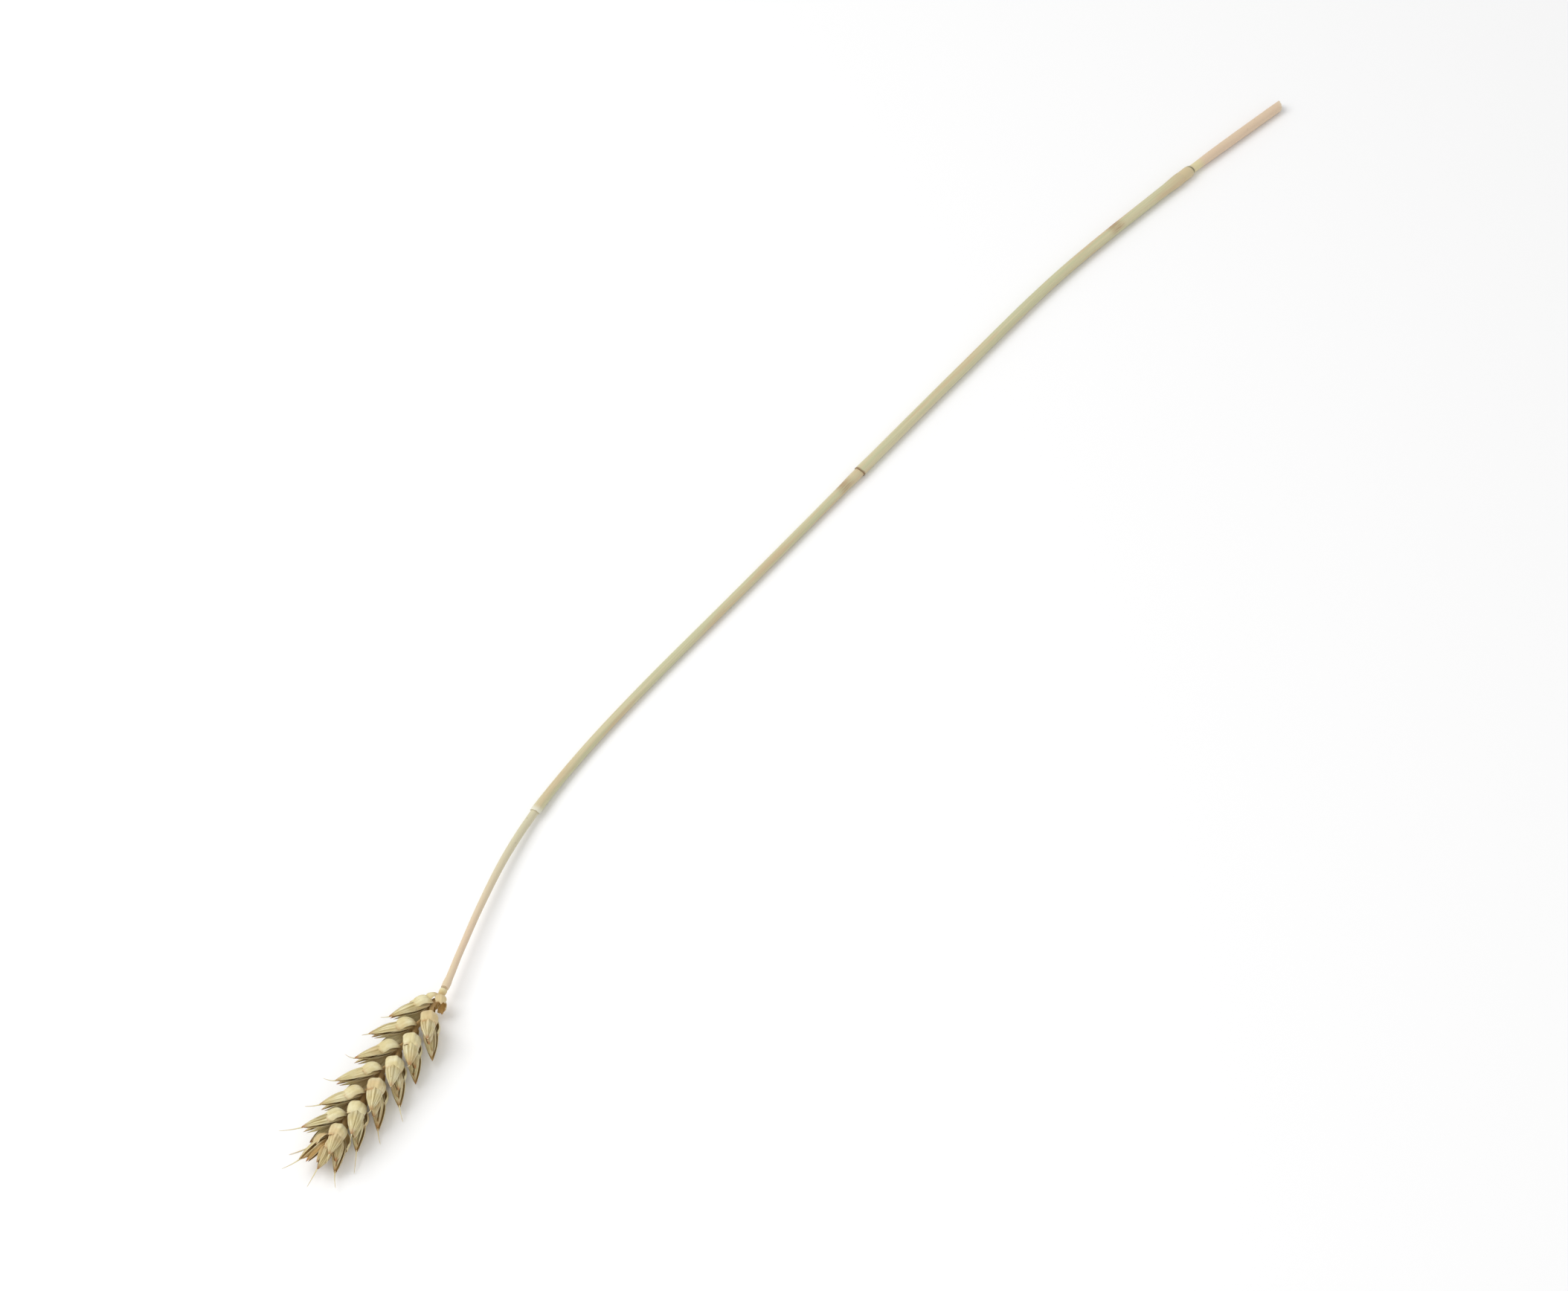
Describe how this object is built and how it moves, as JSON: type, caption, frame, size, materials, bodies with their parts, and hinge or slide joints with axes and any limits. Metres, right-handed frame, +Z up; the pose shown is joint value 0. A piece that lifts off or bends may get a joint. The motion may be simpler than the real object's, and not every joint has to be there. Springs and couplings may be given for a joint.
{
  "type": "wheat ear on its cut straw",
  "caption": "Dried wheat ear with two rows of hooded spikelets on its long cut straw, with two leaf sheaths and a swollen joint, lying flat.",
  "frame": {"origin": "middle of the whole part's box, on the surface it lies on", "axes": "+X along the straw from the ear towards the cut end, +Z up off the surface"},
  "size_m": [0.6604, 0.0732, 0.0159],
  "materials": {
    "husk": "dry papery husk, pale straw with brown tips",
    "straw": "smooth dry straw, pinkish tan",
    "sheath": "smooth dry leaf sheath, pale green beige"
  },
  "bodies": {
    "root": {"ear": "husk", "culm": "straw", "flag_leaf_sheath": "sheath", "second_leaf_sheath": "sheath"}
  },
  "joints": []
}
